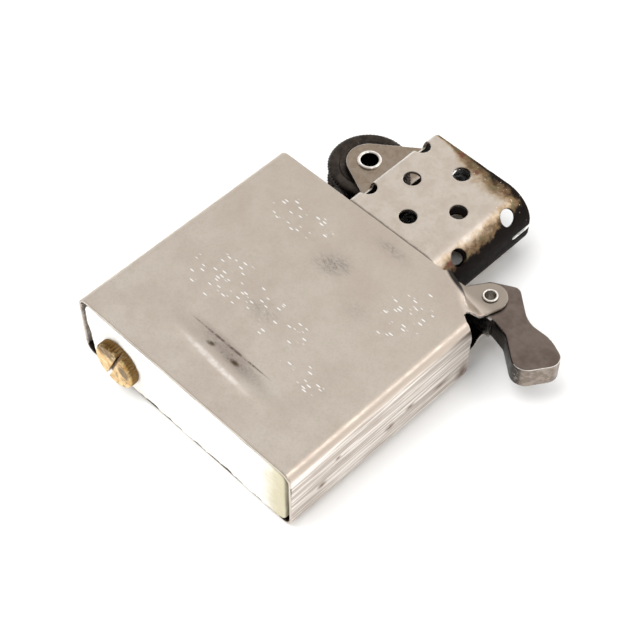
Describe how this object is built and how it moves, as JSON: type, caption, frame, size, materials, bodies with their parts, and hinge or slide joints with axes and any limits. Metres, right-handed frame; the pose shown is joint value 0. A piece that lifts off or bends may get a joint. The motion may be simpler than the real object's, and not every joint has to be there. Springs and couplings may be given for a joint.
{
  "type": "petrol lighter insert",
  "caption": "Insert of a flip-top windproof petrol lighter: steel fuel shell, perforated chimney, spark wheel on a hollow rivet, swinging cam, flint tube with slotted screw, wick and felt pad.",
  "frame": {"origin": "centre of the flat back face of the shell, on which the insert lies", "axes": "+Z out of the front face, +Y along the shell towards the chimney, +X towards the cam lever"},
  "size_m": [0.0454, 0.0517, 0.0104],
  "materials": {
    "shell_steel": "satin tumbled stainless sheet, warm grey, scuffed",
    "chimney_steel": "stainless sheet, straw and brown heat tint, soot at the cam side",
    "plate_steel": "dull stainless sheet",
    "cam_steel": "satin warm grey steel, rounded edges",
    "wheel_steel": "dark hardened steel, fine teeth",
    "spring_steel": "bright spring steel",
    "bright_nickel": "bright nickel plate",
    "brass": "plain brass, darkened in the recesses",
    "flint_alloy": "dull grey sintered alloy",
    "wick_cotton": "braided cotton, charred at the tip",
    "copper_wire": "bare copper wire",
    "felt": "pressed white felt",
    "cotton": "loose cotton wadding"
  },
  "bodies": {
    "case": {"insert_shell": "shell_steel", "top_plate": "plate_steel", "chimney": "chimney_steel", "wheel_rivet": "bright_nickel", "cam_rivet": "bright_nickel", "cam_spring": "spring_steel", "cam_spring_rivet": "plate_steel", "flint_tube": "brass", "wick": "wick_cotton", "wick_wire": "copper_wire", "felt_pad_fixed": "felt", "cotton_wad_1": "cotton", "cotton_wad_2": "cotton", "cotton_wad_3": "cotton", "cotton_wad_4": "cotton", "cotton_wad_5": "cotton"},
    "wheel": {"spark_wheel": "wheel_steel"},
    "lever": {"cam": "cam_steel"},
    "flint_stack": {"flint": "flint_alloy", "flint_spring_tip": "brass"},
    "screw_spring": {"flint_spring": "spring_steel"},
    "screw": {"flint_screw": "brass"},
    "pad_flap": {"felt_pad_flap": "felt"}
  },
  "joints": [
    {"name": "wheel_spin", "type": "hinge", "parent": "case", "child": "wheel", "pos_m": [-0.0104, 0.0253, 0.0052], "axis": [0, 0, 1], "continuous": true},
    {"name": "cam_swing", "type": "hinge", "parent": "case", "child": "lever", "pos_m": [0.01525, 0.0197, 0.0052], "axis": [0, 0, 1], "range_deg": [-8, 88], "deforming": ["cam_spring"]},
    {"name": "flint_feed", "type": "slide", "parent": "case", "child": "flint_stack", "axis": [0, -1, 0], "range_m": [0, 0.002], "deforming": ["flint_spring"]},
    {"name": "screw_lift", "type": "slide", "parent": "case", "child": "screw_spring", "axis": [0, -1, 0], "range_m": [0, 0.004]},
    {"name": "screw_turn", "type": "hinge", "parent": "screw_spring", "child": "screw", "pos_m": [-0.0104, -0.01685, 0.0052], "axis": [0, -1, 0], "range_deg": [0, 2880]},
    {"name": "pad_lift", "type": "hinge", "parent": "case", "child": "pad_flap", "pos_m": [-0.0056, -0.01685, 0.0052], "axis": [0, 0, -1], "range_deg": [0, 60]}
  ],
  "couplings": [
    {"joint": "screw_turn", "follows": "screw_lift", "rad_per_m": 12566}
  ]
}
